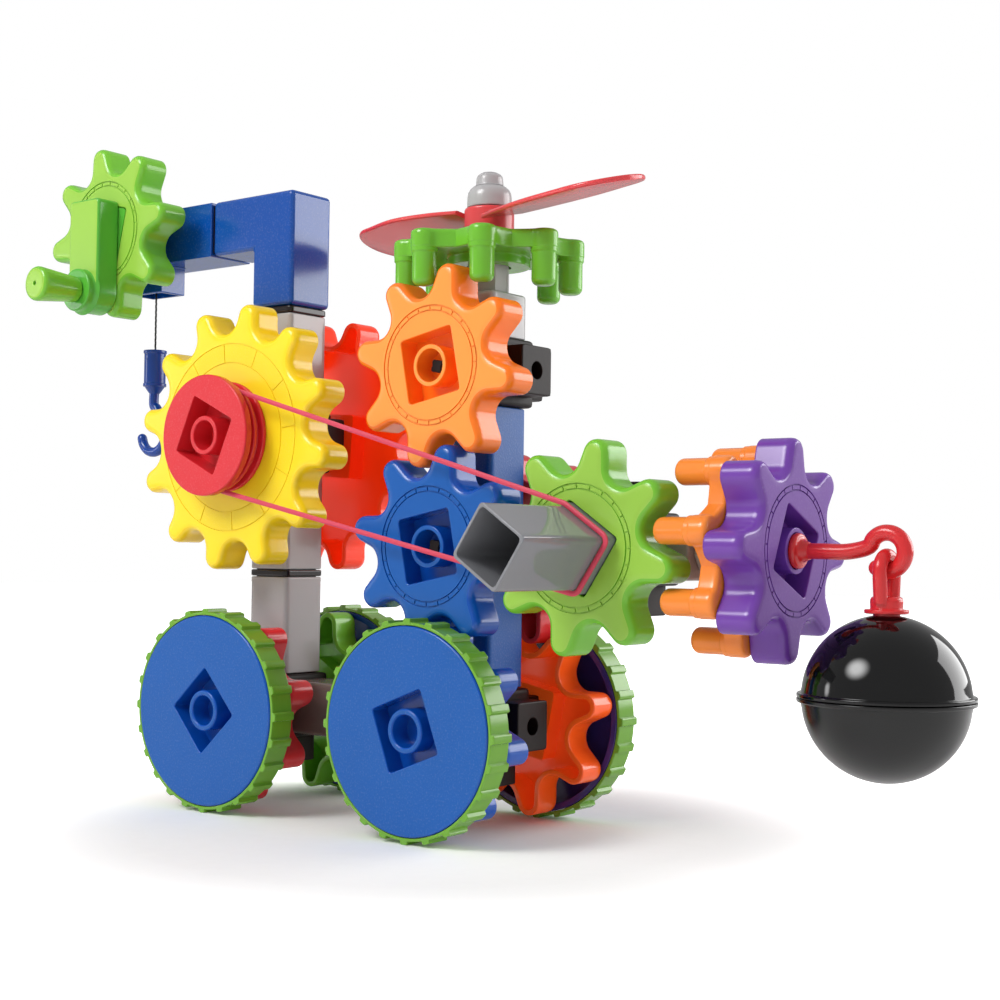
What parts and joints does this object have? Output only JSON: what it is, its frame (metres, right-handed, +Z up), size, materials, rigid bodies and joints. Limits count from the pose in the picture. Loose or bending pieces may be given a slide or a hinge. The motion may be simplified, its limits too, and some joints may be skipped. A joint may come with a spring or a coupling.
{
  "type": "geared construction toy with crane and propeller",
  "caption": "Four wheeled toy built from square pillars, connectors and gears, with a crank winch crane, a propeller turned by a crown gear and a swinging ball.",
  "frame": {"origin": "on the ground, under the middle of the whole", "axes": "+X along the chassis from the crane to the ball arm, +Z up, the near wheels face -Y"},
  "size_m": [0.3914, 0.1204, 0.2631],
  "materials": {
    "green": "smooth moulded plastic",
    "orange": "smooth moulded plastic",
    "ember_orange": "smooth moulded plastic",
    "yellow": "smooth moulded plastic",
    "red": "smooth moulded plastic",
    "blue": "smooth moulded plastic",
    "deep_blue": "smooth moulded plastic",
    "grey": "smooth moulded plastic",
    "dark_brown": "smooth moulded plastic",
    "purple": "smooth moulded plastic",
    "ball_black": "smooth moulded plastic",
    "tyre_green": "fine textured plastic",
    "band_rubber": "plain elastic",
    "cord_black": "twisted cord"
  },
  "bodies": {
    "frame": {"crane_base_connector": "dark_brown", "crane_gear_connector": "dark_brown", "rotor_base_connector": "dark_brown", "rotor_mid_connector": "dark_brown", "rotor_top_connector": "dark_brown", "ball_arm_connector": "dark_brown", "crane_pillar_lower": "grey", "crane_ring_lower": "dark_brown", "crane_pillar_middle": "grey", "crane_pillar_upper": "grey", "crane_ring_upper": "grey", "rotor_pillar_lower": "blue", "rotor_pillar_upper": "blue", "chassis_pillar_crane": "grey", "chassis_pillar_rotor": "grey", "ball_arm_pillar": "blue", "crane_elbow": "deep_blue", "arm_joiner": "dark_brown", "winch_housing": "deep_blue", "rotor_axle_seat": "grey", "ball_axle_seat": "grey", "drive_band": "band_rubber", "winch_cord": "cord_black"},
    "near_right_wheel": {"near_right_wheel_gear": "blue", "near_right_wheel_disc": "blue", "near_right_wheel_tyre": "tyre_green"},
    "middle_gear": {"mid_gear": "blue"},
    "top_gear": {"upper_gear": "orange"},
    "arm_drive": {"arm_gear": "green", "tube_collar": "grey", "square_tube": "grey"},
    "rotor": {"rotor_shaft": "grey", "rotor_crown_gear": "green", "propeller": "red", "propeller_cap": "grey"},
    "ball_drive": {"ball_shaft": "grey", "ball_crown_gear": "orange", "hook_gear": "purple", "swing_hook": "red"},
    "pulley_drive": {"pulley_gear": "yellow", "belt_pulley": "red"},
    "far_right_wheel": {"far_right_wheel_gear": "ember_orange", "far_right_wheel_disc": "purple", "far_right_wheel_tyre": "tyre_green"},
    "middle_back_gear": {"mid_back_gear": "red"},
    "near_left_wheel": {"near_left_wheel_gear": "red", "near_left_wheel_disc": "blue", "near_left_wheel_tyre": "tyre_green"},
    "far_left_wheel": {"far_left_wheel_gear": "green", "far_left_wheel_disc": "deep_blue", "far_left_wheel_tyre": "tyre_green"},
    "big_back_gear": {"back_gear": "ember_orange"},
    "ball": {"ball_eye": "red", "ball_upper_shell": "ball_black", "ball_lower_shell": "ball_black"},
    "crank": {"winch_spool": "grey", "crank_gear": "green", "crank_bar": "green"},
    "crank_handle": {"crank_knob": "green"},
    "hook": {"winch_hook": "deep_blue"}
  },
  "joints": [
    {"name": "near_right_wheel_turn", "type": "hinge", "parent": "frame", "child": "near_right_wheel", "pos_m": [0.0158, 0.01755, 0.03797], "axis": [0, 1, 0], "continuous": true},
    {"name": "middle_gear_turn", "type": "hinge", "parent": "frame", "child": "middle_gear", "pos_m": [0.0158, 0.01755, 0.10017], "axis": [0, 1, 0], "continuous": true},
    {"name": "top_gear_turn", "type": "hinge", "parent": "frame", "child": "top_gear", "pos_m": [0.0158, 0.01755, 0.16237], "axis": [0, 1, 0], "continuous": true},
    {"name": "arm_gear_turn", "type": "hinge", "parent": "frame", "child": "arm_drive", "pos_m": [0.07799, 0.01755, 0.10017], "axis": [0, 1, 0], "continuous": true, "deforming": ["drive_band"]},
    {"name": "rotor_turn", "type": "hinge", "parent": "frame", "child": "rotor", "pos_m": [0.0158, 0.01755, 0.16237], "axis": [0, 0, 1], "continuous": true},
    {"name": "ball_drive_turn", "type": "hinge", "parent": "frame", "child": "ball_drive", "pos_m": [0.07799, 0.01755, 0.10017], "axis": [1, 0, 0], "continuous": true},
    {"name": "pulley_turn", "type": "hinge", "parent": "frame", "child": "pulley_drive", "pos_m": [-0.084, 0.01755, 0.14087], "axis": [0, 1, 0], "continuous": true},
    {"name": "far_right_wheel_turn", "type": "hinge", "parent": "frame", "child": "far_right_wheel", "pos_m": [0.0158, 0.01755, 0.03797], "axis": [0, 1, 0], "continuous": true},
    {"name": "middle_back_gear_turn", "type": "hinge", "parent": "frame", "child": "middle_back_gear", "pos_m": [0.0158, 0.01755, 0.10017], "axis": [0, 1, 0], "continuous": true},
    {"name": "near_left_wheel_turn", "type": "hinge", "parent": "frame", "child": "near_left_wheel", "pos_m": [-0.084, 0.01755, 0.03797], "axis": [0, 1, 0], "continuous": true},
    {"name": "far_left_wheel_turn", "type": "hinge", "parent": "frame", "child": "far_left_wheel", "pos_m": [-0.084, 0.01755, 0.03797], "axis": [0, 1, 0], "continuous": true},
    {"name": "big_back_gear_turn", "type": "hinge", "parent": "frame", "child": "big_back_gear", "pos_m": [-0.084, 0.01755, 0.14087], "axis": [0, 1, 0], "continuous": true},
    {"name": "ball_swing", "type": "hinge", "parent": "ball_drive", "child": "ball", "pos_m": [0.1692, 0.01755, 0.10017], "axis": [0, 1, 0], "range_deg": [-40, 4]},
    {"name": "crank_turn", "type": "hinge", "parent": "frame", "child": "crank", "pos_m": [-0.16031, 0.01755, 0.22772], "axis": [0, 1, 0], "range_deg": [-1500, 250]},
    {"name": "crank_handle_spin", "type": "hinge", "parent": "crank", "child": "crank_handle", "pos_m": [-0.16031, 0.01755, 0.20212], "axis": [0, 1, 0], "continuous": true},
    {"name": "hook_hoist", "type": "slide", "parent": "frame", "child": "hook", "axis": [0, 0, 1], "range_m": [-0.125, 0.021], "deforming": ["winch_cord"]}
  ],
  "couplings": [
    {"joint": "middle_gear_turn", "follows": "near_right_wheel_turn", "ratio": -1},
    {"joint": "top_gear_turn", "follows": "near_right_wheel_turn", "ratio": 1},
    {"joint": "arm_gear_turn", "follows": "near_right_wheel_turn", "ratio": 1},
    {"joint": "rotor_turn", "follows": "near_right_wheel_turn", "ratio": 1},
    {"joint": "ball_drive_turn", "follows": "near_right_wheel_turn", "ratio": 1},
    {"joint": "pulley_turn", "follows": "near_right_wheel_turn", "ratio": 0.6956},
    {"joint": "middle_back_gear_turn", "follows": "far_right_wheel_turn", "ratio": -1},
    {"joint": "hook_hoist", "follows": "crank_turn", "m_per_rad": 0.00475}
  ]
}
